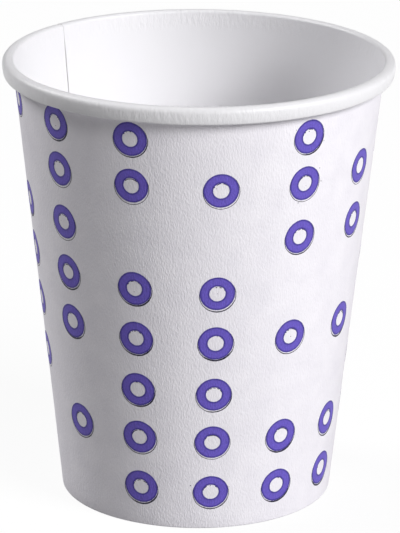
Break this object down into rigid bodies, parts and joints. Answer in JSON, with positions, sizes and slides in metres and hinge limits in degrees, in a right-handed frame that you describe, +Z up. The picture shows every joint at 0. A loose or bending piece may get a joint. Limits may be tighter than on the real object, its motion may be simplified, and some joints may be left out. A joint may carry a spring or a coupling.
{
  "type": "paper cup",
  "caption": "Single-wall paper cup for a hot drink, tapered, with a rolled rim, a lapped side seam, a recessed base and scattered violet printed rings.",
  "frame": {"origin": "middle of the foot ring, on the surface that the cup stands on", "axes": "+Z up along the cup's axis, to the rim; the side that faces the viewer in the picture faces -Y; the side seam is behind and to the left, at X negative and Y positive"},
  "size_m": [0.08, 0.08, 0.092],
  "materials": {
    "wall_board": "white paperboard, matt and printed outside, coated inside",
    "base_board": "white paperboard, coated inside",
    "ring_ink": "violet printing ink on board, matt"
  },
  "bodies": {
    "root": {"side_wall": "wall_board", "base_disc": "base_board", "ring_print": "ring_ink"}
  },
  "joints": []
}
